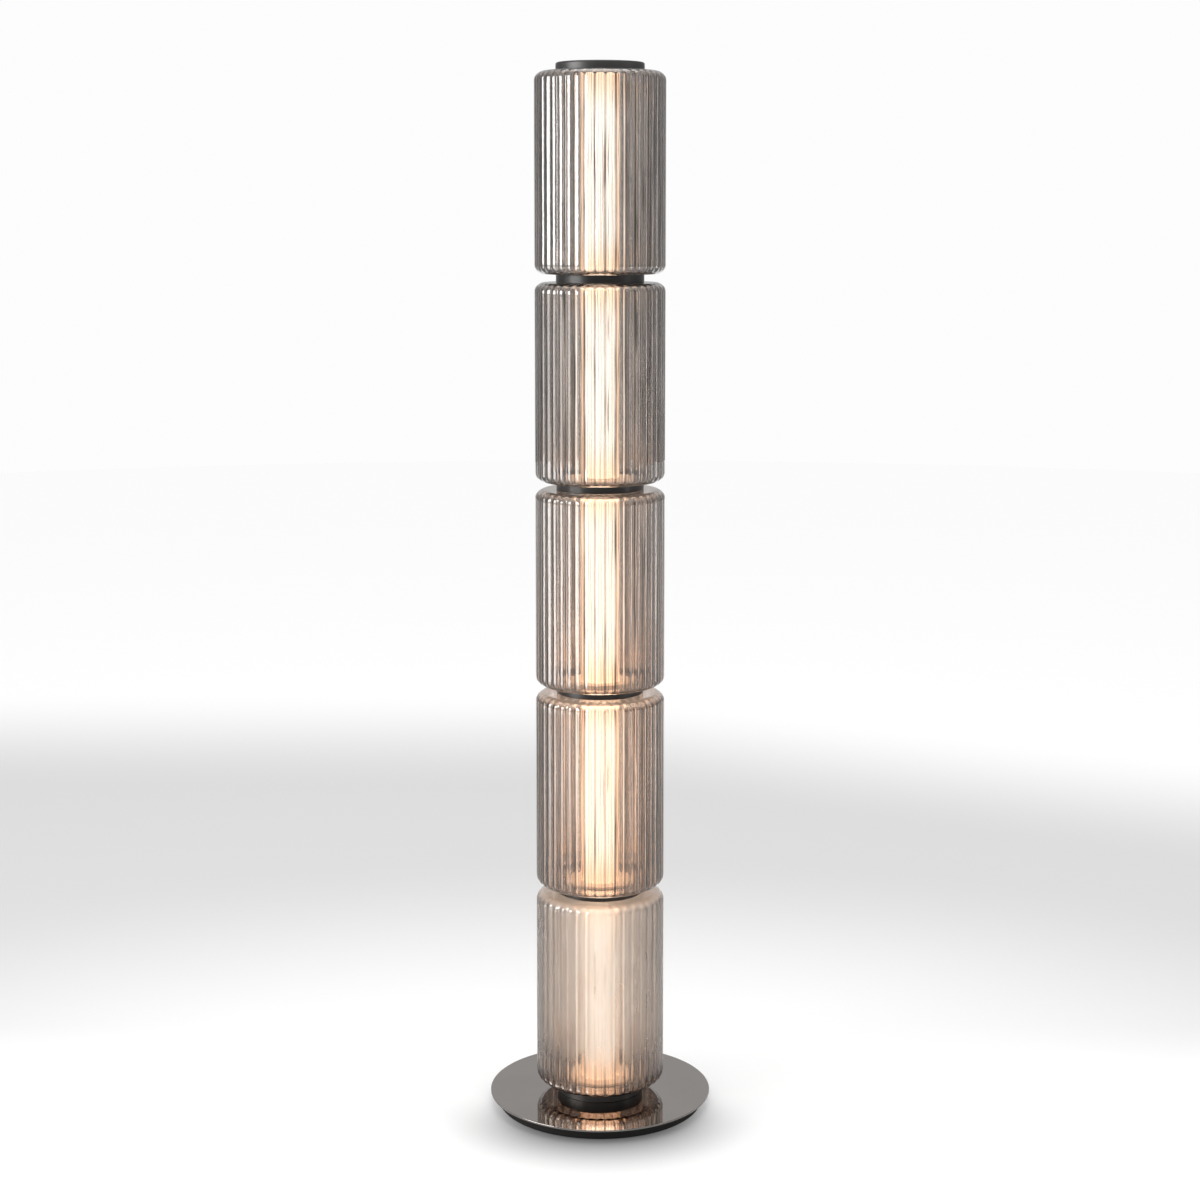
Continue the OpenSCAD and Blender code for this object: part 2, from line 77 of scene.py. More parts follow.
class NodeSheet:
    """One node tree that is being written, with short calls that add a node and give what it puts out.

    Where a call takes a value, it takes a plain number or another node's output.
    """

    def __init__(self, tree: NodeTree) -> None:
        """Opens the sheet on a node tree."""
        self.tree = tree

    def fill(self, node: Node, inputs: dict) -> None:
        """Gives a node's inputs what they take.

        Args:
            node: the node.
            inputs: what an input gets, by its name or number: a plain value, a colour or another node's output.
        """
        for name, value in inputs.items():
            socket = node.inputs[name]
            if isinstance(value, Socket):
                self.tree.links.new(value, socket)
            else:
                socket.default_value = (*value, 1.0) if socket.type == "RGBA" else value

    def add(self, kind: str, inputs: dict | None = None, **settings: object) -> Node:
        """Adds one node.

        Args:
            kind: Blender's name for the type of node.
            inputs: what its inputs get, as for fill.
            settings: the node's own options, set before its inputs.

        Returns:
            The new node.
        """
        node = self.tree.nodes.new(kind)
        for name, value in settings.items():
            setattr(node, name, value)
        self.fill(node, inputs or {})
        return node

    def math(self, operation: str, *values: object) -> Socket:
        """Adds a Math node that does an operation, such as SINE, on its values and returns the result's socket."""
        return self.add("ShaderNodeMath", dict(enumerate(values)), operation=operation).outputs[0]

    def times(self, *values: object) -> Socket:
        """Multiplies values from the first to the last and returns the product's socket."""
        return reduce(lambda first, second: self.math("MULTIPLY", first, second), values)

    def plus(self, *values: object) -> Socket:
        """Adds values from the first to the last and returns the sum's socket."""
        return reduce(lambda first, second: self.math("ADD", first, second), values)

    def minus(self, first: object, second: object) -> Socket:
        """Takes the second value from the first and returns the difference's socket."""
        return self.math("SUBTRACT", first, second)

    def length(self, x: object, y: object) -> Socket:
        """Returns the socket of a flat vector's length, given its two parts."""
        return self.math("SQRT", self.plus(self.times(x, x), self.times(y, y)))

    def quotient(self, part: object, distance: object) -> Socket:
        """Divides a part by a distance, which is held off zero, and returns the quotient's socket."""
        return self.math("DIVIDE", part, self.math("MAXIMUM", distance, LEAST_DISTANCE))

    def vector(self, x: object, y: object, z: object) -> Socket:
        """Joins three values into a vector and returns its socket."""
        return self.add("ShaderNodeCombineXYZ", {0: x, 1: y, 2: z}).outputs[0]

    def parts(self, vector: Socket) -> Outputs:
        """Splits a vector and returns the sockets of its x, y and z."""
        return self.add("ShaderNodeSeparateXYZ", {0: vector}).outputs

    def place(self) -> Socket:
        """Returns the socket of a point's place in the piece's own space."""
        return self.add("ShaderNodeTexCoord").outputs["Object"]

    def attribute(self, name: str) -> Socket:
        """Returns the socket of a number that the mesh carries under that name."""
        return self.add("ShaderNodeAttribute", attribute_name=name).outputs["Fac"]

    def traced(self, rays: Outputs) -> Socket:
        """Returns a socket with 1 for a mirrored or refracted ray and 0 for others, given a Light Path's outputs."""
        return self.math("MAXIMUM", rays["Is Glossy Ray"], rays["Is Transmission Ray"])

    def mirrored(self, rays: Outputs) -> Socket:
        """Returns a socket with 1 for a ray whose last turn was mirroring, given a Light Path's outputs."""
        return self.times(rays["Is Glossy Ray"], self.minus(1.0, rays["Is Transmission Ray"]))

    def noise(self, vector: Socket, scale: object, detail: float = 2.0, seed: object = 0.0) -> Socket:
        """Returns the socket of a smooth noise around 0.5: swells per unit as scale, and finer layers as detail."""
        return self.add("ShaderNodeTexNoise", {"Vector": vector, "Scale": scale, "Detail": detail, "W": seed},
                        noise_dimensions="4D").outputs[0]

    def drawn(self, parts: Outputs, draw: float) -> Socket:
        """Returns the socket of a place, given its parts, with z times draw, so that patterns are drawn out along z."""
        return self.vector(parts[0], parts[1], self.times(parts[2], draw))

    def ramp(self, value: object, span: Span, first: object = 0.0, last: object = 1.0,
             smooth: bool = True) -> Socket:
        """Maps a value from one range to another and holds it there.

        Args:
            value: what is mapped.
            span: where the ramp starts and ends.
            first: the result at its start.
            last: the result at its end.
            smooth: whether it starts and ends softly.

        Returns:
            The result's socket.
        """
        kind = "SMOOTHSTEP" if smooth else "LINEAR"
        return self.add("ShaderNodeMapRange", {0: value, 1: span[0], 2: span[1], 3: first, 4: last},
                        interpolation_type=kind).outputs[0]

    def between(self, share: object, first: object, last: object) -> Socket:
        """Returns the socket of a value on the straight way from the first to the last, at a share of it."""
        return self.ramp(share, UNIT, first, last, smooth=False)

    def blend(self, share: object, first: object, second: object) -> Socket:
        """Blends two colours, each given plain or as a socket, by the second one's share, and returns a socket."""
        return self.add("ShaderNodeMix", {0: share, 6: first, 7: second}, data_type="RGBA").outputs[2]


def new_group(name: str, kind: str, inputs: dict[str, tuple],
              outputs: dict[str, str]) -> tuple[NodeTree, NodeSheet, Outputs]:
    """Makes a node group with named sockets.

    Args:
        name: the group's name.
        kind: the type of tree, such as ShaderNodeTree.
        inputs: for each input its socket type and, where it has one, its starting value.
        outputs: for each output its socket type.

    Returns:
        The group, its sheet and the sockets of what it is given.
    """
    tree = bpy.data.node_groups.new(name, kind)
    for label, (socket_type, *start) in inputs.items():
        socket = tree.interface.new_socket(name=label, in_out="INPUT", socket_type=socket_type)
        if start:
            socket.default_value = start[0]
    for label, socket_type in outputs.items():
        tree.interface.new_socket(name=label, in_out="OUTPUT", socket_type=socket_type)
    sheet = NodeSheet(tree)
    return tree, sheet, sheet.add("NodeGroupInput").outputs


def new_material(name: str) -> tuple[Material, NodeSheet, Node]:
    """Makes a material with a Principled shader.

    Args:
        name: the material's name.

    Returns:
        The material, the sheet of its nodes and its shader.
    """
    made = bpy.data.materials.new(name)
    made.use_nodes = True
    return made, NodeSheet(made.node_tree), made.node_tree.nodes["Principled BSDF"]


class Grain(Enum):
    """Ways in which a surface is grained, each with its own stretch of the noise along x, y and z."""

    CAST = (1.0, 1.0, 1.0)
    EXTRUDED = (1.0, 1.0, 0.02)
    ROLLED = (0.05, 1.0, 1.0)
    TURNED = (0.0, 0.0, 0.0)


class EffectGroups:
    """The shader node groups that several finishes share."""

    BLOTCH_SPAN: Span = (0.35, 0.65)
    SPECK_SPAN: Span = (0.62, 0.74)

    def __init__(self) -> None:
        """Builds the groups once."""
        self.mottle = self._mottle()
        self.grain = self._grain()
        self.turned = self._turned()

    def _mottle(self) -> NodeTree:
        """Builds soft blotches and fine specks that shift a surface's roughness and colour.

        Returns:
            The group.
        """
        tree, sheet, sizes = new_group(
            "mottle", "ShaderNodeTree",
            {"Blotch Scale": ("NodeSocketFloat", 12.0), "Speck Scale": ("NodeSocketFloat", 900.0)},
            {"Blotches": "NodeSocketFloat", "Specks": "NodeSocketFloat"})
        place = sheet.place()
        blotches = sheet.ramp(sheet.noise(place, sizes["Blotch Scale"], detail=4.0, seed=3.0), self.BLOTCH_SPAN)
        specks = sheet.ramp(sheet.noise(place, sizes["Speck Scale"], detail=1.0, seed=8.0), self.SPECK_SPAN)
        sheet.add("NodeGroupOutput", {"Blotches": blotches, "Specks": specks})
        return tree

    @staticmethod
    def _grain() -> NodeTree:
        """Builds a grain that runs with the piece: even as on a casting, or drawn out as on a profile or sheet.

        Returns:
            The group.
        """
        tree, sheet, sizes = new_group(
            "grain", "ShaderNodeTree",
            {"Stretch": ("NodeSocketVector", Grain.CAST.value), "Scale": ("NodeSocketFloat", 500.0)},
            {"Height": "NodeSocketFloat"})
        drawn = sheet.add("ShaderNodeVectorMath", {0: sheet.place(), 1: sizes["Stretch"]}, operation="MULTIPLY")
        sheet.add("NodeGroupOutput", {"Height": sheet.noise(drawn.outputs[0], sizes["Scale"], detail=3.0)})
        return tree

    @staticmethod
    def _turned() -> NodeTree:
        """Builds the fine rings that a lathe leaves round the lamp's axis, on sides and faces alike.

        Returns:
            The group.
        """
        tree, sheet, sizes = new_group("turned_lines", "ShaderNodeTree", {"Scale": ("NodeSocketFloat", 2500.0)},
                                       {"Height": "NodeSocketFloat"})
        x, y, z = sheet.parts(sheet.place())
        height = sheet.noise(sheet.vector(sheet.length(x, y), 0.0, z), sizes["Scale"])
        sheet.add("NodeGroupOutput", {"Height": height})
        return tree


@dataclass(frozen=True)
class Finish:
    """A painted, plated, moulded or bare surface with its grain, its blotches and a trace of wear.

    Closer to the lamp's axis than bare_within it is bare metal, with a faint glow painted on it for the light caught
    there.
    """

    name: str
    colour: Colour
    worn_colour: Colour
    roughness: float
    metallic: float = 0.0
    spread: float = 0.08
    grain: Grain = Grain.CAST
    grain_scale: float = 900.0
    grain_depth: float = 0.00004
    bump: float = 0.25
    coat: float = 0.0
    coat_roughness: float = 0.12
    blotch_wear: float = 0.5
    speck_wear: float = 0.35
    bare_within: float = 0.0
    bare_colour: Colour = (0.86, 0.80, 0.74)
    # strength and colour of the glow painted on the bare metal, standing in for caught light
    painted_bare_glow: float = 0.0
    painted_glow_colour: Colour = (1.0, 0.70, 0.46)

    def material(self, groups: EffectGroups) -> Material:
        """Makes the finish's material.

        Args:
            groups: the shared shader groups.

        Returns:
            The material.
        """
        made, sheet, shader = new_material(self.name)
        mottle = sheet.add("ShaderNodeGroup", node_tree=groups.mottle).outputs
        sizes, group = {"Scale": self.grain_scale}, groups.turned
        if self.grain is not Grain.TURNED:
            sizes, group = {"Stretch": self.grain.value, "Scale": self.grain_scale}, groups.grain
        grain = sheet.add("ShaderNodeGroup", sizes, node_tree=group).outputs[0]
        worn = sheet.plus(sheet.times(mottle["Blotches"], self.blotch_wear),
                          sheet.times(mottle["Specks"], self.speck_wear))
        rough = sheet.between(mottle["Blotches"], self.roughness, self.roughness + self.spread)
        rough = sheet.plus(rough, sheet.times(sheet.minus(grain, 0.5), self.spread))
        bump = sheet.add("ShaderNodeBump", {"Strength": self.bump, "Distance": self.grain_depth, "Height": grain})
        colour = sheet.blend(worn, self.colour, self.worn_colour)
        # bare metal near the axis, with a faint painted glow standing in for the lamp's light caught there
        if self.bare_within:
            x, y, _ = sheet.parts(sheet.place())
            bare = sheet.math("LESS_THAN", sheet.length(x, y), self.bare_within)
            colour = sheet.blend(bare, colour, self.bare_colour)
            sheet.fill(shader, {"Emission Color": self.painted_glow_colour,
                                "Emission Strength": sheet.times(bare, self.painted_bare_glow)})
        sheet.fill(shader, {"Base Color": colour, "Roughness": rough, "Normal": bump.outputs[0],
                            "Metallic": self.metallic, "Coat Weight": self.coat,
                            "Coat Roughness": self.coat_roughness})
        return made


@dataclass(frozen=True)
class SmokedGlass:
    """Grey-brown smoked glass, blown into a ribbed mould, clear or with a pale haze over its upper part.

    Its tints and its shoulder's painted glow go from the low ones at the height low to the others at high; the
    low tint is warmer, painted warm light. The mesh says how far a point is from its groove, from 0 in the groove
    to 0.5 on the rib's crest, where a dark line is painted as shade, and how much it faces down at the shade's
    foot, where the tint is painted dark as shade, or up at its shoulder, where a pale tint is painted as caught light.
    """

    name: str
    low: float = 0.50
    high: float = 1.25
    tint: Colour = (0.60, 0.568, 0.548)
    # warmer tint on the lower shades, painted warm light from the lamp
    painted_warm_low_tint: Colour = (0.72, 0.58, 0.485)
    # darker tints painted as shade at the shades' feet, less dark on the lower shades
    painted_corner_shade: Colour = (0.10, 0.09, 0.085)
    low_painted_corner_shade: Colour = (0.17, 0.12, 0.095)
    corner_span: Span = (0.02, 0.55)
    # pale tint and faint glow painted on the shoulders as the lamp's light caught there
    painted_shoulder_light_tint: Colour = (0.86, 0.79, 0.74)
    shoulder_span: Span = (-0.75, -0.15)
    painted_shoulder_glow: float = 0.17
    painted_glow_colour: Colour = (1.0, 0.74, 0.56)
    # dark lines painted as shade along the grooves: their colour, widths, wander and fading
    painted_groove_shade: Colour = (0.014, 0.008, 0.005)
    groove_line: Span = (0.07, 0.175)
    second_line: Span = (0.012, 0.05)
    second_from: float = 0.08
    second_wander: float = 0.5
    second_weight: float = 0.95
    drift_draw: float = 0.15
    drift_scale: float = 55.0
    drift_span: Span = (0.35, 0.65)
    faintest_line: float = 0.6
    line_rise: Span = (-0.6, -0.1)
    shoulder_line: float = 0.15
    haze: float = 0.0
    haze_tint: Colour = (0.82, 0.755, 0.70)
    haze_span: Span = UNIT
    haze_wander: float = 0.05
    streak_draw: float = 0.2
    streak_scale: float = 60.0
    streak_span: Span = (0.38, 0.58)
    thinnest_haze: float = 0.6
    absorbed: Colour = (0.58, 0.53, 0.50)
    absorption: float = 38.0
    blotch_scale: float = 9.0
    roughness: float = 0.015
    roughest: float = 0.03
    ior: float = 1.5
    gloss: float = 1.0
    gloss_ior: float = 1.8

    def _painted_groove_lines(self, sheet: NodeSheet, drift: Socket, corner: Socket) -> Socket:
        """Draws a dark line of painted shade in every groove and a second one that wanders beside it.

        Args:
            sheet: the sheet of the material's nodes.
            drift: the noise that the lines wander and fade with.
            corner: how much a point faces down at a corner, or up where it is below zero.

        Returns:
            The socket of the lines' strength.
        """
        groove = sheet.attribute("from_groove")
        beside = sheet.plus(self.second_from, sheet.times(drift, self.second_wander))
        second = sheet.ramp(sheet.math("ABSOLUTE", sheet.minus(groove, beside)), self.second_line, 1.0, 0.0)
        line = sheet.math("MAXIMUM", sheet.ramp(groove, self.groove_line, 1.0, 0.0),
                          sheet.times(second, self.second_weight))
        return sheet.times(line, sheet.ramp(drift, self.drift_span, 1.0, self.faintest_line),
                           sheet.ramp(corner, self.line_rise, self.shoulder_line, 1.0))

    def material(self, groups: EffectGroups) -> Material:
        """Makes the glass.

        Args:
            groups: the shared shader groups.

        Returns:
            The material.
        """
        made, sheet, shader = new_material(self.name)
        mottle = sheet.add("ShaderNodeGroup", {"Blotch Scale": self.blotch_scale}, node_tree=groups.mottle)
        rough = sheet.between(mottle.outputs["Blotches"], self.roughness, self.roughest)
        parts = sheet.parts(sheet.place())
        z = parts["Z"]
        corner = sheet.attribute("corner")
        drift = sheet.noise(sheet.drawn(parts, self.drift_draw), self.drift_scale, seed=4.0)
        height = sheet.ramp(z, (self.low, self.high))
        # paints light: a pale tint on the up-facing shoulders
        shoulder = sheet.ramp(corner, self.shoulder_span, 1.0, 0.0)
        tint = sheet.blend(shoulder, sheet.blend(height, self.painted_warm_low_tint, self.tint), self.painted_shoulder_light_tint)
        # paints shade: a darker tint where the foot faces down
        tint = sheet.blend(sheet.ramp(corner, self.corner_span), tint,
                           sheet.blend(height, self.low_painted_corner_shade, self.painted_corner_shade))
        # paints shade: dark lines along the grooves
        tint = sheet.blend(self._painted_groove_lines(sheet, drift, corner), tint, self.painted_groove_shade)
        if self.haze:
            streaks = sheet.noise(sheet.drawn(parts, self.streak_draw), self.streak_scale, seed=2.0)
            rise = sheet.plus(z, sheet.times(sheet.minus(streaks, 0.5), self.haze_wander))
            veil = sheet.times(sheet.ramp(rise, self.haze_span),
                               sheet.ramp(streaks, self.streak_span, self.thinnest_haze, 1.0))
            rough = sheet.plus(rough, sheet.times(veil, self.haze))
            tint = sheet.blend(veil, tint, self.haze_tint)
        # paints light: a faint glow on the shoulders, stronger on the lower shades
        glow = sheet.ramp(z, (self.low, self.high), self.painted_shoulder_glow, 0.0)
        sheet.fill(shader, {"Base Color": tint, "Roughness": rough, "Transmission Weight": 1.0, "IOR": self.ior,
                            "Emission Color": self.painted_glow_colour, "Emission Strength": sheet.times(shoulder, glow),
                            "Coat Weight": self.gloss, "Coat Roughness": self.roughness,
                            "Coat IOR": self.gloss_ior})
        smoke = sheet.add("ShaderNodeVolumeAbsorption", {"Color": self.absorbed, "Density": self.absorption})
        sheet.fill(made.node_tree.nodes["Material Output"], {"Volume": smoke.outputs[0]})
        return made


@dataclass(frozen=True)
class OpalLight:
    """Lit opal acrylic: cream along the middle of a shade, and warmer towards the tube's two ends.

    The light that the disc mirrors is stronger by mirrored_gain. What the glass round the tube mirrors is a
    ghost with a share of the light, a small one on the upper shades. The lowest shade's light keeps the
    share low_strength.
    """

    name: str
    middle: Colour = (1.0, 0.94, 0.85)
    ends: Colour = (1.0, 0.72, 0.50)
    warm_reach: float = 0.07
    edges: Colour = (0.60, 0.39, 0.24)
    edge_span: Span = (0.15, 0.85)
    strength: float = 2.65
    low_strength: float = 0.55
    low_span: Span = (0.25, 0.50)
    mirrored_gain: float = 3.2
    ghost: float = 0.10
    low_ghost: float = 0.6
    ghost_span: Span = (0.35, 1.05)
    flute_colour: Colour = (0.15, 0.09, 0.05)
    flutes: float = 21.0
    flute_wander: float = 4.0
    wander_scale: float = 55.0
    flute_span: Span = (0.74, 0.96)
    flute_shade: float = 0.9
    depth_draw: float = 0.12
    depth_scale: float = 90.0
    depth_span: Span = (0.35, 0.6)
    unlit: Colour = (0.85, 0.83, 0.80)
    roughness: float = 0.35

    def _flute_lines(self, sheet: NodeSheet, parts: Outputs) -> Socket:
        """Draws faint upright lines round the tube.

        Args:
            sheet: the sheet of the material's nodes.
            parts: the x, y and z of a point's place.

        Returns:
            The socket of the lines' strength.
        """
        x, y, _ = parts
        drift = sheet.noise(sheet.vector(x, y, 0.0), self.wander_scale, seed=1.0)
        turn = sheet.times(sheet.math("ARCTAN2", y, x), self.flutes)
        wave = sheet.math("SINE", sheet.plus(turn, sheet.times(drift, self.flute_wander)))
        depth = sheet.noise(sheet.drawn(parts, self.depth_draw), self.depth_scale, detail=1.0, seed=6.0)
        return sheet.times(sheet.ramp(wave, self.flute_span), sheet.ramp(depth, self.depth_span), self.flute_shade)

    def material(self, first_foot: float, pitch: float, height: float) -> Material:
        """Makes the light.

        Args:
            first_foot: height of the lowest shade's foot.
            pitch: rise from one shade to the next.
            height: height of a shade.

        Returns:
            The material.
        """
        made, sheet, shader = new_material(self.name)
        parts = sheet.parts(sheet.place())
        z = parts["Z"]
        turns = sheet.math("FRACT", sheet.math("DIVIDE", sheet.minus(z, first_foot), pitch))
        rise = sheet.times(turns, pitch)
        from_end = sheet.math("MINIMUM", rise, sheet.math("ABSOLUTE", sheet.minus(height, rise)))
        colour = sheet.blend(sheet.ramp(from_end, (0.0, self.warm_reach)), self.ends, self.middle)
        facing = sheet.add("ShaderNodeLayerWeight", {"Blend": 0.5}).outputs["Facing"]
        colour = sheet.blend(sheet.ramp(facing, self.edge_span), colour, self.edges)
        colour = sheet.blend(self._flute_lines(sheet, parts), colour, self.flute_colour)
        rays = sheet.add("ShaderNodeLightPath").outputs
        strength = sheet.between(rays["Glossy Depth"], self.strength, self.strength * self.mirrored_gain)
        ghost = sheet.ramp(z, self.ghost_span, self.low_ghost, self.ghost)
        strength = sheet.times(strength, sheet.between(sheet.mirrored(rays), 1.0, ghost),
                               sheet.ramp(z, self.low_span, self.low_strength, 1.0))
        sheet.fill(shader, {"Emission Color": colour, "Emission Strength": strength, "Base Color": self.unlit,
                            "Roughness": self.roughness})
        return made


def placed(name: str, data: bpy.types.ID) -> Object:
    """Puts a mesh, light or camera in the scene, at the origin.

    Args:
        name: the object's name.
        data: what it shows.

    Returns:
        The object.
    """
    made = bpy.data.objects.new(name, data)
    bpy.context.scene.collection.objects.link(made)
    return made


def grown(name: str, seed_mesh: Mesh, tree: NodeTree, values: dict) -> Object:
    """Runs a Geometry Nodes tree on a mesh and turns the result into a plain piece.

    Args:
        name: the finished piece's name.
        seed_mesh: what the tree starts from.
        tree: the Geometry Nodes tree.
        values: what its named inputs get.

    Returns:
        The finished piece, at the origin and with no modifiers.
    """
    carrier = placed(name + "_carrier", seed_mesh)
    modifier = carrier.modifiers.new("grow", "NODES")
    modifier.node_group = tree
    for socket in tree.interface.items_tree:
        if socket.in_out == "INPUT" and socket.name in values:
            modifier[socket.identifier] = values[socket.name]
    bpy.context.view_layer.update()
    evaluated = carrier.evaluated_get(bpy.context.evaluated_depsgraph_get())
    mesh = bpy.data.meshes.new_from_object(evaluated)
    bpy.data.objects.remove(carrier)
    mesh.name = name
    return placed(name, mesh)


def spaced(start: float, end: float, steps: int) -> list[float]:
    """Returns even values from the start to the end, with both, in that many steps."""
    return [start + (end - start) * k / steps for k in range(steps + 1)]


def arc(centre: tuple[float, float], radius: float, start: float, end: float, steps: int,
        facing: float = 1.0) -> list[OutlinePoint]:
    """Sets points along an arc of a half outline, each with the direction that its surface faces.

    Args:
        centre: the arc's centre, as a distance from the axis and a height.
        radius: its radius.
        start: the angle at which it starts, from the outward direction towards up.
        end: the angle at which it ends.
        steps: how many pieces it has.
        facing: 1 where the surface faces away from the centre, and -1 where it faces the centre.

    Returns:
        For each point its distance from the axis, its height and the two parts of its direction.
    """
    turns = [(math.cos(angle), math.sin(angle)) for angle in spaced(start, end, steps)]
    return [(centre[0] + radius * across, centre[1] + radius * up, across * facing, up * facing)
            for across, up in turns]


@dataclass
class RibbedShades:
    """The glass shades: blown shells whose round ribs end in small arches on the shoulders."""

    glass: Material
    hazed_glass: Material
    count: int = 5
    wall: float = 0.0035
    shoulder_radius: float = 0.012
    neck_radius: float = 0.054
    rib_count: int = 40
    rib_depth: float = 0.0023
    rib_sink: float = 0.0002
    rib_end_drop: float = 0.0135
    groove_softness: float = 0.0005
    rib_wander: float = 0.018
    wander_round: float = 5.0
    wander_up: float = 9.0
    wall_ripple: float = 0.0009
    ripple_round: float = 4.5
    ripple_up: float = 7.0
    ripple_seed: float = 40.0
    steadied_by_ribs: float = 0.75
    inner_depth: float = 0.0017
    weld: float = 0.00002
    steps_per_rib: int = 12
    shoulder_steps: int = 14
    end_length: float = 0.024
    end_steps: int = 12
    middle_steps: int = 24
    inner_shoulder_steps: int = 8
    inner_steps: int = 28
    lip_steps: int = 6
    outer_shares: tuple[float, ...] = (0.25, 0.5, 0.75)
    inner_shares: tuple[float, ...] = (0.33, 0.66)

    def shell_outline(self, foot: float, head: float, core_radius: float) -> Mesh:
        """Draws the closed half outline of one shell, starting at the foot's neck and going up outside.

        Args:
            foot: height of the shade's foot.
            head: height of its head.
            core_radius: radius of the shell between its ribs.

        Returns:
            A mesh of loose points with their outward direction. They also say with 1 where the ribs stand,
            and where the inside follows them.
        """
        lip = self.wall / 2
        lip_centre = self.neck_radius + lip
        corner = core_radius - self.shoulder_radius
        quarter = math.pi / 2
        low, high = foot + self.shoulder_radius, head - self.shoulder_radius

        def level(height: float, up: float, shares: tuple[float, ...]) -> list[OutlinePoint]:
            """Returns points on a level face that faces that way, at shares of the way out to the shoulder."""
            return [(lip_centre + (corner - lip_centre) * share, height, 0.0, up) for share in shares]

        heights = (spaced(low, low + self.end_length, self.end_steps)[1:-1]
                   + spaced(low + self.end_length, high - self.end_length, self.middle_steps)
                   + spaced(high - self.end_length, high, self.end_steps)[1:-1])
        outside = (level(foot, -1.0, (0.0, *self.outer_shares))
                   + arc((corner, low), self.shoulder_radius, -quarter, 0.0, self.shoulder_steps)
                   + [(core_radius, height, 1.0, 0.0) for height in heights]
                   + arc((corner, high), self.shoulder_radius, 0.0, quarter, self.shoulder_steps)
                   + level(head, 1.0, self.outer_shares[::-1]))
        head_lip = arc((lip_centre, head - lip), lip, quarter, 3 * quarter, self.lip_steps)
        inner_radius = self.shoulder_radius - self.wall
        inner_heights = spaced(high, low, self.inner_steps)[1:-1]
        inside = (level(head - self.wall, -1.0, self.inner_shares)
                  + arc((corner, high), inner_radius, quarter, 0.0, self.inner_shoulder_steps, -1.0)
                  + [(core_radius - self.wall, height, -1.0, 0.0) for height in inner_heights]
                  + arc((corner, low), inner_radius, 0.0, -quarter, self.inner_shoulder_steps, -1.0)
                  + level(foot + self.wall, 1.0, self.inner_shares[::-1]))
        foot_lip = arc((lip_centre, foot + lip), lip, quarter, 3 * quarter, self.lip_steps)[:-1]
        points = outside + head_lip + inside + foot_lip
        ribbed = [1.0] * len(outside) + [0.0] * (len(points) - len(outside))
        follows = [0.0] * (len(outside) + len(head_lip)) + [1.0] * len(inside) + [0.0] * len(foot_lip)
        mesh = bpy.data.meshes.new("shell_outline")
        mesh.from_pydata([(radius, 0.0, height) for radius, height, _, _ in points], [], [])
        facing = mesh.attributes.new("facing", "FLOAT_VECTOR", "POINT")
        facing.data.foreach_set("vector", [part for _, _, across, up in points for part in (across, 0.0, up)])
        for name, values in (("ribbed", ribbed), ("follows", follows)):
            mesh.attributes.new(name, "FLOAT", "POINT").data.foreach_set("value", values)
        return mesh

    @staticmethod
    def _rib_rise(sheet: NodeSheet, given: Outputs, point: tuple[Socket, ...], offset: Socket) -> Socket:
        """Works out how far a point of the shell lies under the nearest rib's surface, along its own direction.

        A rib is a round rod with a ball at each end, partly sunk in the shell.

        Args:
            sheet: the sheet of the tree.
            given: what the tree is given.
            point: the point's distance from the axis, its height and the two parts of its direction.
            offset: the angle from the rib's middle to the point.

        Returns:
            The socket of that depth, which runs out softly to 0 in the grooves.
        """
        radius, height, across, up = point
        cosine, sine = sheet.math("COSINE", offset), sheet.math("SINE", offset)
        ball = sheet.math("MINIMUM", sheet.math("MAXIMUM", height, given["Low End"]), given["High End"])
        from_ball = sheet.vector(sheet.minus(sheet.times(radius, cosine), given["Rib Centre"]),
                                 sheet.times(radius, sine), sheet.minus(height, ball))
        outward = sheet.vector(sheet.times(across, cosine), sheet.times(across, sine), up)
        along, reach = (sheet.add("ShaderNodeVectorMath", {0: from_ball, 1: other}, operation="DOT_PRODUCT").outputs[1]
                        for other in (outward, from_ball))
        root = sheet.plus(sheet.minus(sheet.times(along, along), reach),
                          sheet.times(given["Rib Radius"], given["Rib Radius"]))
        rise = sheet.minus(sheet.math("SQRT", sheet.math("MAXIMUM", root, 0.0)), along)
        return sheet.times(sheet.plus(rise, sheet.length(rise, given["Groove Softness"])), 0.5)

    def rib_tree(self) -> NodeTree:
        """Builds the tree that turns a half outline round the axis and raises the ribs on its outside.

        Returns:
            The Geometry Nodes tree.
        """
        sockets = {"NodeSocketGeometry": ("Outline",), "NodeSocketInt": ("Rib Count", "Steps per Rib", "Seed"),
                   "NodeSocketFloat": ("Rib Radius", "Rib Centre", "Low End", "High End", "Groove Softness",
                                       "Rib Wander", "Wall Ripple", "Inner Depth"),
                   "NodeSocketMaterial": ("Glass",)}
        tree, sheet, given = new_group("ribbed_shell", "GeometryNodeTree",
                                       {label: (kind,) for kind, labels in sockets.items() for label in labels},
                                       {"Shell": "NodeSocketGeometry"})
        outline = given["Outline"]
        rings = sheet.add("GeometryNodeAttributeDomainSize", {"Geometry": outline}, component="MESH").outputs[0]
        around = sheet.times(given["Rib Count"], given["Steps per Rib"])
        columns = sheet.plus(around, 1.0)
        index = sheet.add("GeometryNodeInputIndex").outputs[0]
        row = sheet.math("FLOOR", sheet.math("DIVIDE", index, columns))
        step = sheet.minus(index, sheet.times(row, columns))
        row = sheet.math("MODULO", row, rings)

        def read(kind: str, source: Node) -> Socket:
            """Returns the socket of a value of the outline at this point's row, given its kind and its node."""
            return sheet.add("GeometryNodeSampleIndex", {"Geometry": outline, "Value": source.outputs[0], "Index": row},
                             data_type=kind, domain="POINT").outputs[0]

        def stored(name: str, kind: str) -> Socket:
            """Returns the socket of the attribute that the outline carries under that name and kind."""
            return read(kind, sheet.add("GeometryNodeInputNamedAttribute", {"Name": name}, data_type=kind))

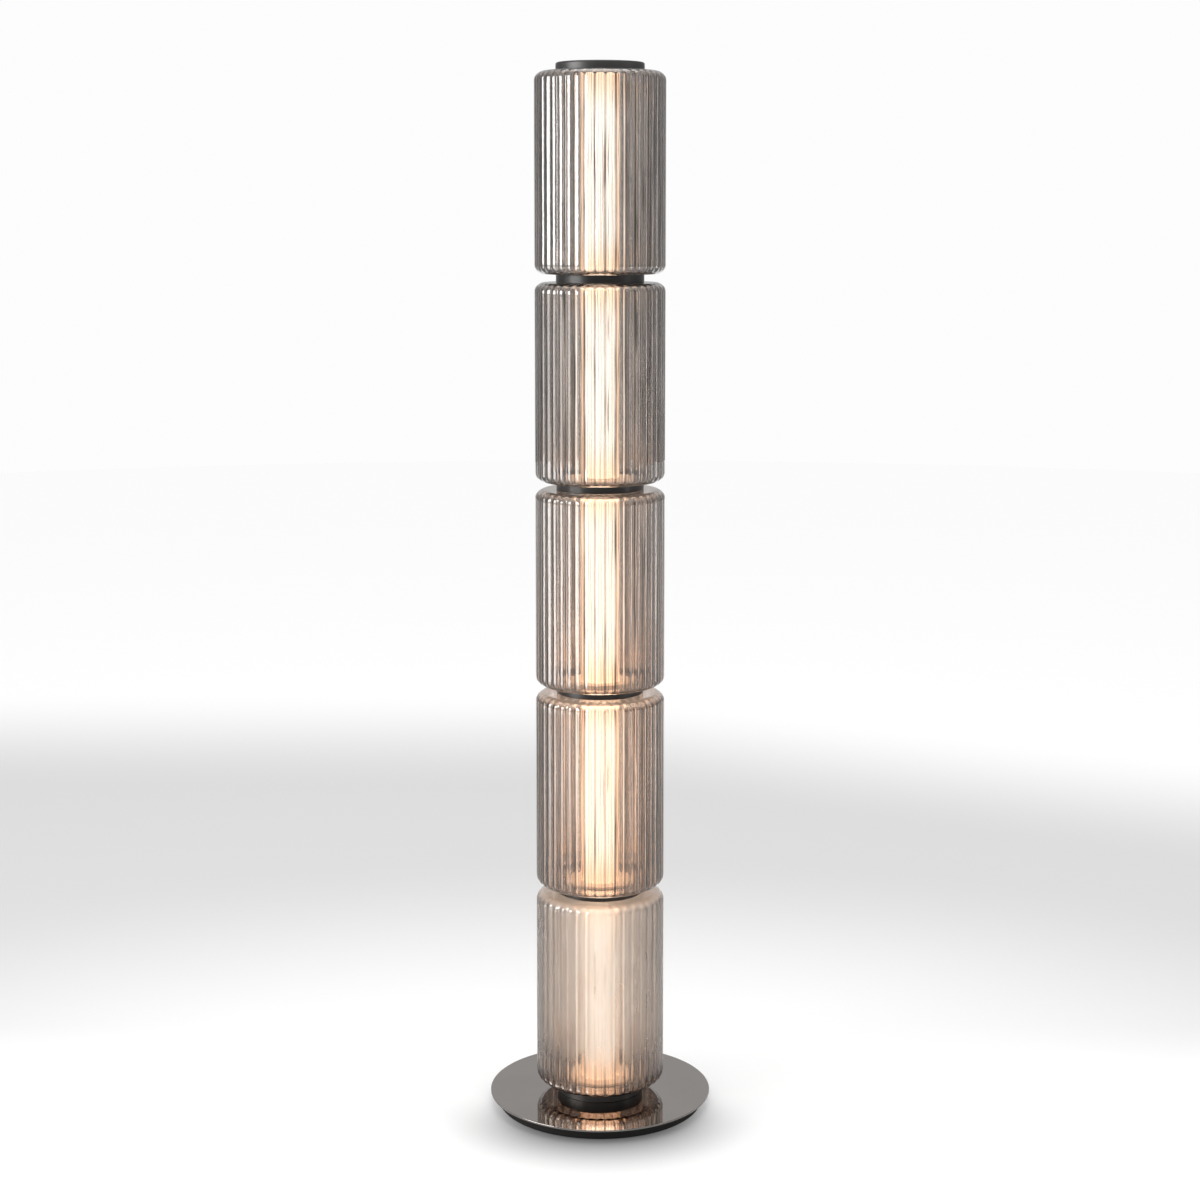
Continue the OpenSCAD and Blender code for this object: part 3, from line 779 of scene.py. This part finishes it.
        radius, _, height = sheet.parts(read("FLOAT_VECTOR", sheet.add("GeometryNodeInputPosition")))
        across, _, up = sheet.parts(stored("facing", "FLOAT_VECTOR"))
        ribbed, follows = stored("ribbed", "FLOAT"), stored("follows", "FLOAT")
        share = sheet.math("DIVIDE", step, given["Steps per Rib"])
        offset = sheet.minus(sheet.math("FRACT", sheet.plus(share, 0.5)), 0.5)
        offset = sheet.times(sheet.math("DIVIDE", offset, given["Rib Count"]), math.tau)
        rise = sheet.times(self._rib_rise(sheet, given, (radius, height, across, up), offset), ribbed)

        angle = sheet.times(sheet.math("DIVIDE", step, around), math.tau)
        unit = (sheet.math("COSINE", angle), sheet.math("SINE", angle))
        sway = sheet.noise(sheet.vector(*(sheet.times(part, self.wander_round) for part in unit),
                                        sheet.times(height, self.wander_up)),
                           scale=1.0, detail=1.0, seed=given["Seed"])
        swell = sheet.noise(sheet.vector(*(sheet.times(part, self.ripple_round) for part in unit),
                                         sheet.times(height, self.ripple_up)),
                            scale=1.0, detail=2.0, seed=sheet.plus(given["Seed"], self.ripple_seed))
        angle = sheet.plus(angle, sheet.times(sheet.minus(sway, 0.5), given["Rib Wander"]))
        ripple = sheet.times(sheet.minus(swell, 0.5), given["Wall Ripple"])
        loose = sheet.times(sheet.minus(1.0, sheet.times(ribbed, self.steadied_by_ribs)),
                            sheet.math("ABSOLUTE", across))
        rib_wave = sheet.plus(0.5, sheet.times(sheet.math("COSINE", sheet.times(share, math.tau)), 0.5))
        hollow = sheet.times(sheet.times(rib_wave, given["Inner Depth"]), sheet.times(follows, across))
        rise = sheet.plus(rise, sheet.times(ripple, loose), hollow)
        out = sheet.plus(radius, sheet.times(across, rise))
        position = sheet.vector(sheet.times(out, sheet.math("COSINE", angle)),
                                sheet.times(out, sheet.math("SINE", angle)), sheet.plus(height, sheet.times(up, rise)))

        from_groove = sheet.math("ABSOLUTE", sheet.minus(sheet.math("FRACT", share), 0.5))
        from_groove = sheet.plus(sheet.times(from_groove, ribbed), sheet.minus(1.0, ribbed))
        corner = sheet.times(sheet.times(up, -1.0), ribbed)
        shell = sheet.add("GeometryNodeMeshGrid", {"Vertices X": sheet.plus(rings, 1.0),
                                                   "Vertices Y": columns}).outputs["Mesh"]
        for label, value in (("from_groove", from_groove), ("corner", corner)):
            shell = sheet.add("GeometryNodeStoreNamedAttribute", {"Geometry": shell, "Name": label,
                                                                  "Value": value}).outputs[0]
        for kind, inputs in (("GeometryNodeSetPosition", {"Position": position}),
                             ("GeometryNodeMergeByDistance", {"Distance": self.weld}),
                             ("GeometryNodeFlipFaces", {}),
                             ("GeometryNodeSetShadeSmooth", {}),
                             ("GeometryNodeRealizeInstances", {}),
                             ("GeometryNodeSetMaterial", {"Material": given["Glass"]})):
            shell = sheet.add(kind, {0: shell, **inputs}).outputs[0]
        sheet.add("NodeGroupOutput", {"Shell": shell})
        return tree

    def build(self) -> None:
        """Grows every shade and lets it stand for its plain solid."""
        tree = self.rib_tree()
        half_pitch = math.pi / self.rib_count
        for number in range(1, self.count + 1):
            node = f"glass_shade_{number}"
            low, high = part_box(node)
            crest = high.x
            core = crest - self.rib_depth
            root = core - self.rib_sink
            rise, half_width = crest - root * math.cos(half_pitch), root * math.sin(half_pitch)
            rib_radius = (rise ** 2 + half_width ** 2) / (2 * rise)
            piece = grown(f"ribbed_glass_{number}", self.shell_outline(low.z, high.z, core), tree, {
                "Rib Count": self.rib_count, "Steps per Rib": self.steps_per_rib, "Rib Radius": rib_radius,
                "Rib Centre": crest - rib_radius, "Low End": low.z + self.rib_end_drop,
                "High End": high.z - self.rib_end_drop, "Groove Softness": self.groove_softness,
                "Rib Wander": self.rib_wander, "Wall Ripple": self.wall_ripple, "Inner Depth": self.inner_depth,
                "Seed": number,
                "Glass": self.hazed_glass if number == 1 else self.glass})
            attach(piece, BODY)
            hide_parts(node)
            log.info("%s: %d faces", piece.name, len(piece.data.polygons))


@dataclass(frozen=True)
class SoftBox:
    """A soft studio light: a bright panel that faces the lamp."""

    name: str
    centre: Place
    aim: Place
    width: float
    height: float
    radiance: float
    colour: Colour = WHITE
    only_mirrored: bool = False

    def build(self) -> None:
        """Hangs the panel, which the camera never sees, nor matt surfaces where it is only there to be mirrored."""
        light = bpy.data.lights.new(self.name, "AREA")
        light.shape = "RECTANGLE"
        light.size, light.size_y = self.width, self.height
        light.color = self.colour
        light.energy = self.radiance * math.pi * self.width * self.height
        panel = placed(self.name, light)
        panel.location = self.centre
        panel.rotation_euler = (Vector(self.aim) - Vector(self.centre)).to_track_quat("-Z", "Y").to_euler()
        panel.visible_camera = False
        panel.visible_transmission = False
        panel.visible_diffuse = not self.only_mirrored


@dataclass(frozen=True)
class LightPool:
    """A bright sector of the floor that only mirroring surfaces show, warmer and dimmer close to the lamp."""

    direction_degrees: float
    half_width_degrees: float
    first: float
    last: float
    span: Span = (0.5, 2.3)
    clear_span: Span = (0.35, 0.50)
    full_share: float = 0.8
    near_colour: Colour = (1.0, 0.66, 0.44)

    def glow(self, sheet: NodeSheet, x: Socket, y: Socket, near: Socket, mirrored: Socket) -> Socket:
        """Writes the pool's light.

        Args:
            sheet: the sheet of the floor's nodes.
            x: a point's place across.
            y: its place from front to back.
            near: its distance from the lamp's axis.
            mirrored: 1 for a mirrored ray.

        Returns:
            The socket of the pool's shader.
        """
        direction, half_width = math.radians(self.direction_degrees), math.radians(self.half_width_degrees)
        line = sheet.plus(sheet.times(x, math.cos(direction)), sheet.times(y, math.sin(direction)))
        aligned = sheet.ramp(sheet.quotient(line, near),
                             (math.cos(half_width), math.cos(half_width * self.full_share)))
        lit = sheet.times(aligned, sheet.ramp(near, self.span, self.first, self.last),
                          sheet.ramp(near, self.clear_span))
        return sheet.add("ShaderNodeEmission", {
            "Color": sheet.blend(sheet.ramp(near, self.span), self.near_colour, WHITE),
            "Strength": sheet.times(lit, mirrored)}).outputs[0]


@dataclass(frozen=True)
class PhotoCamera:
    """The camera, fitted to the photograph, whose frame takes 1200 by 1200 pixels."""

    frame_px: float = 1200.0
    focal_px: float = 2249.3
    centre_column_px: float = 600.1
    centre_row_px: float = 470.0
    distance: float = 3.4443
    height: float = 1.4159
    pitch_degrees: float = 6.73
    sensor_mm: float = 36.0

    def build(self) -> None:
        """Sets the camera up as the scene's own."""
        lens = bpy.data.cameras.new("photo_camera")
        lens.sensor_width = self.sensor_mm
        lens.lens = self.focal_px / self.frame_px * self.sensor_mm
        lens.shift_x = (self.frame_px / 2 - self.centre_column_px) / self.frame_px
        lens.shift_y = (self.centre_row_px - self.frame_px / 2) / self.frame_px
        camera = placed("photo_camera", lens)
        camera.location = (0.0, -self.distance, self.height)
        camera.rotation_euler = (math.pi / 2 - math.radians(self.pitch_degrees), 0.0, 0.0)
        bpy.context.scene.camera = camera


@dataclass(frozen=True)
class Studio:
    """A pale floor that fades into a white surround, with soft light from the left and from above.

    The glass and the metal show the floor and the surround white behind the lamp and darker at its sides,
    as in front of a photographer's lit wall.
    """

    floor_radius: float = 9.0
    floor_segments: int = 96
    floor_glow: float = 0.25
    # grey of the band, painted shade where a backdrop would curve up
    painted_band_shade: Colour = (0.70, 0.70, 0.70)
    band_narrowing: float = 0.7
    band_slant: float = 0.5
    band_rise: Span = (0.15, 1.35)
    band_end: Span = (1.9, 3.05)
    band_front: Span = (0.0, 0.35)
    shadow: float = 0.75
    shadow_span: Span = (0.125, 0.305)
    shadow_turn: Span = (-0.95, 0.1)
    side_level: float = 0.50
    side_from_degrees: float = 48.0
    back_within_degrees: float = 20.0
    dome_level: float = 0.95
    backdrop_level: float = 0.98
    mirrored_level: float = 0.45
    pools: tuple[LightPool, ...] = (
        LightPool(direction_degrees=202.0, half_width_degrees=18.0, first=0.9, last=2.4),
        LightPool(direction_degrees=-14.0, half_width_degrees=6.0, first=1.2, last=2.0),
    )
    lights: tuple[SoftBox, ...] = (
        SoftBox("left_softbox", (-2.3, -1.0, 1.15), aim=(0.0, 0.0, 0.85), width=1.5, height=2.2, radiance=1.6),
        SoftBox("left_mirrored_high", (-2.2, -0.9, 1.85), aim=(0.0, 0.0, 1.85), width=1.5, height=1.25,
                radiance=6.5, only_mirrored=True),
        SoftBox("left_mirrored_low", (-2.2, -0.9, 0.66), aim=(0.0, 0.0, 0.66), width=1.7, height=1.05,
                radiance=0.9, colour=(1.0, 0.88, 0.79), only_mirrored=True),
        SoftBox("right_strip", (2.4, -0.6, 1.2), aim=(0.0, 0.0, 0.9), width=0.4, height=1.8, radiance=1.2),
        SoftBox("top_softbox", (0.0, 0.0, 3.4), aim=(0.0, 0.0, 0.0), width=2.0, height=2.0, radiance=1.2),
    )

    def build(self) -> None:
        """Lays the floor, sets the surround and hangs the lights."""
        self._floor()
        self._surround()
        for light in self.lights:
            light.build()

    def _side_share(self, sheet: NodeSheet, backward: Socket) -> Socket:
        """Returns the socket of how much light comes from a direction, given how straight back it points."""
        return sheet.ramp(backward, (math.cos(math.radians(self.side_from_degrees)),
                                     math.cos(math.radians(self.back_within_degrees))), self.side_level, 1.0)

    # The band is painted shade that stands in for the shading where a backdrop curves up.
    def _painted_shade_band(self, sheet: NodeSheet, x: Socket, y: Socket) -> Socket:
        """Works out where the floor behind the lamp turns into the soft grey band of the photograph.

        Args:
            sheet: the sheet of the floor's nodes.
            x: a point's place across.
            y: its place from front to back.

        Returns:
            The socket of the band's strength.
        """
        reach = sheet.length(sheet.times(x, self.band_narrowing), y)
        far = sheet.plus(y, sheet.times(sheet.math("MAXIMUM", x, 0.0), self.band_slant))
        return sheet.times(sheet.ramp(reach, self.band_rise), sheet.ramp(far, self.band_end, 1.0, 0.0),
                           sheet.ramp(y, self.band_front))

    def _floor(self) -> None:
        """Lays a round floor, partly lit by itself, with the grey band and a soft shadow, both painted, and the light
        pools.
        """
        shape = bmesh.new()
        bmesh.ops.create_circle(shape, cap_ends=True, segments=self.floor_segments, radius=self.floor_radius)
        mesh = bpy.data.meshes.new("floor")
        shape.to_mesh(mesh)
        shape.free()
        floor = placed("floor", mesh)
        made, sheet, shader = new_material("pale_floor")
        made.node_tree.nodes.remove(shader)
        x, y, _ = sheet.parts(sheet.place())
        rays = sheet.add("ShaderNodeLightPath").outputs
        traced = sheet.traced(rays)
        near = sheet.length(x, y)
        backward = sheet.quotient(y, near)
        shadow = sheet.times(sheet.ramp(near, self.shadow_span, self.shadow, 0.0),
                             sheet.ramp(backward, self.shadow_turn, 1.0, 0.0))
        share = sheet.math("MAXIMUM", self._side_share(sheet, backward), sheet.minus(1.0, traced))
        # paints shade: the grey band behind the lamp
        tone = sheet.blend(self._painted_shade_band(sheet, x, y), WHITE, self.painted_band_shade)
        tone = sheet.blend(share, BLACK, sheet.blend(shadow, tone, BLACK))
        matt = sheet.add("ShaderNodeBsdfDiffuse", {"Color": tone})
        seen = sheet.math("MAXIMUM", rays["Is Camera Ray"], traced)
        glow = sheet.add("ShaderNodeEmission", {"Color": tone, "Strength": seen})
        both = sheet.add("ShaderNodeMixShader", {0: self.floor_glow, 1: matt.outputs[0], 2: glow.outputs[0]})
        light = both.outputs[0]
        mirrored = sheet.mirrored(rays)
        for pool in self.pools:
            light = sheet.add("ShaderNodeAddShader", {0: light, 1: pool.glow(sheet, x, y, near, mirrored)}).outputs[0]
        sheet.fill(made.node_tree.nodes["Material Output"], {"Surface": light})
        mesh.materials.append(made)

    def _surround(self) -> None:
        """Makes the world: white where the camera, glass or metal sees the backdrop, and a soft dome as light."""
        world = bpy.data.worlds.new("studio")
        bpy.context.scene.world = world
        world.use_nodes = True
        sheet = NodeSheet(world.node_tree)
        rays = sheet.add("ShaderNodeLightPath").outputs
        x, y, _ = sheet.parts(sheet.add("ShaderNodeTexCoord").outputs["Generated"])
        traced = sheet.traced(rays)
        backdrop = sheet.times(self._side_share(sheet, sheet.quotient(y, sheet.length(x, y))),
                               sheet.between(sheet.mirrored(rays), 1.0, self.mirrored_level))
        level = sheet.plus(sheet.times(traced, backdrop), sheet.times(sheet.minus(1.0, traced), self.dome_level))
        level = sheet.math("MAXIMUM", level, sheet.times(rays["Is Camera Ray"], self.backdrop_level))
        sheet.fill(world.node_tree.nodes["Background"], {"Color": WHITE, "Strength": level})


class Dressing:
    """Gives every solid that stays in view the finish of its material slot."""

    FINISHES = (
        # the satin black collars get a faint painted glow on their bare metal near the axis
        Finish("satin_black", (0.030, 0.028, 0.027), (0.055, 0.050, 0.047), roughness=0.36,
               grain=Grain.TURNED, grain_scale=1800.0, grain_depth=0.00003, bump=0.3, coat=0.15,
               bare_within=0.0537, painted_bare_glow=0.6),
        Finish("satin_graphite", (0.060, 0.058, 0.058), (0.085, 0.082, 0.080), roughness=0.34, metallic=0.35,
               grain=Grain.TURNED, grain_scale=1800.0, grain_depth=0.00003, bump=0.3),
        Finish("dark_mirror", (0.54, 0.505, 0.48), (0.50, 0.465, 0.44), roughness=0.03, metallic=1.0,
               spread=0.02, grain_scale=60.0, grain_depth=0.00002, bump=0.02),
        Finish("painted_iron", (0.010, 0.009, 0.008), (0.016, 0.014, 0.013), roughness=0.48,
               spread=0.10, grain_scale=700.0, grain_depth=0.0001, bump=0.4),
        Finish("black_sheet_steel", (0.045, 0.045, 0.045), (0.07, 0.07, 0.07), roughness=0.55,
               spread=0.10, grain=Grain.ROLLED, grain_scale=400.0, grain_depth=0.00005, bump=0.3),
        Finish("plated_steel", (0.55, 0.56, 0.57), (0.42, 0.42, 0.41), roughness=0.28, metallic=1.0,
               spread=0.12, grain=Grain.TURNED, grain_scale=3000.0, bump=0.3),
        Finish("bare_aluminium", (0.72, 0.73, 0.74), (0.60, 0.60, 0.60), roughness=0.30, metallic=1.0,
               spread=0.12, grain=Grain.EXTRUDED, grain_scale=1200.0, bump=0.3),
        Finish("led_tape", (0.93, 0.90, 0.78), (0.85, 0.78, 0.60), roughness=0.5),
        Finish("clear_silicone", (0.70, 0.69, 0.66), (0.62, 0.61, 0.58), roughness=0.45, grain_scale=700.0),
        Finish("black_rubber", (0.028, 0.028, 0.028), (0.045, 0.045, 0.043), roughness=0.62,
               spread=0.12, grain_scale=1100.0, grain_depth=0.0001, bump=0.5),
        Finish("foam_pad", (0.045, 0.045, 0.045), (0.07, 0.07, 0.068), roughness=0.9, spread=0.06, grain_scale=1600.0,
               grain_depth=0.0003, bump=0.9),
        Finish("driver_case", (0.84, 0.84, 0.82), (0.72, 0.71, 0.68), roughness=0.48, spread=0.1,
               grain_scale=1300.0),
    )

    def __init__(self, groups: EffectGroups, others: dict[str, Material]) -> None:
        """Makes the finishes' materials.

        Args:
            groups: the shared shader groups.
            others: the materials of the slots that have no plain finish, by the slot's name.
        """
        self.materials = {finish.name: finish.material(groups) for finish in self.FINISHES} | others

    def dress(self) -> None:
        """Puts each node's material in its slots."""
        slots = {part["node"]: part["material_slot"] for part in frame["record"]["subparts"]}
        for name, node in frame["nodes"].items():
            material = self.materials[slots[name]]
            if not node.data.materials:
                node.data.materials.append(material)
            for k in range(len(node.data.materials)):
                node.data.materials[k] = material
            log.info("%s: %s", name, material.name)


def main() -> None:
    """Builds the studio, then the lamp's glass, its light and the finishes of its other pieces."""
    logging.basicConfig(level=logging.INFO, format="%(name)s: %(message)s")
    bpy.context.scene.view_settings.view_transform = "Standard"
    PhotoCamera().build()
    Studio().build()
    groups = EffectGroups()
    first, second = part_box("glass_shade_1"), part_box("glass_shade_2")
    foot = first[0].z
    clear = SmokedGlass("smoked_glass").material(groups)
    haze_span = (foot + HAZE_RISE[0], foot + HAZE_RISE[1])
    hazed = SmokedGlass("hazed_smoked_glass", haze=HAZE, haze_span=haze_span).material(groups)
    light = OpalLight("opal_light").material(foot, second[0].z - foot, first[1].z - foot)
    RibbedShades(clear, hazed).build()
    Dressing(groups, {"opal_light": light, "smoked_glass": clear}).dress()


if __name__ == "__main__":
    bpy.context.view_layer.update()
    main()
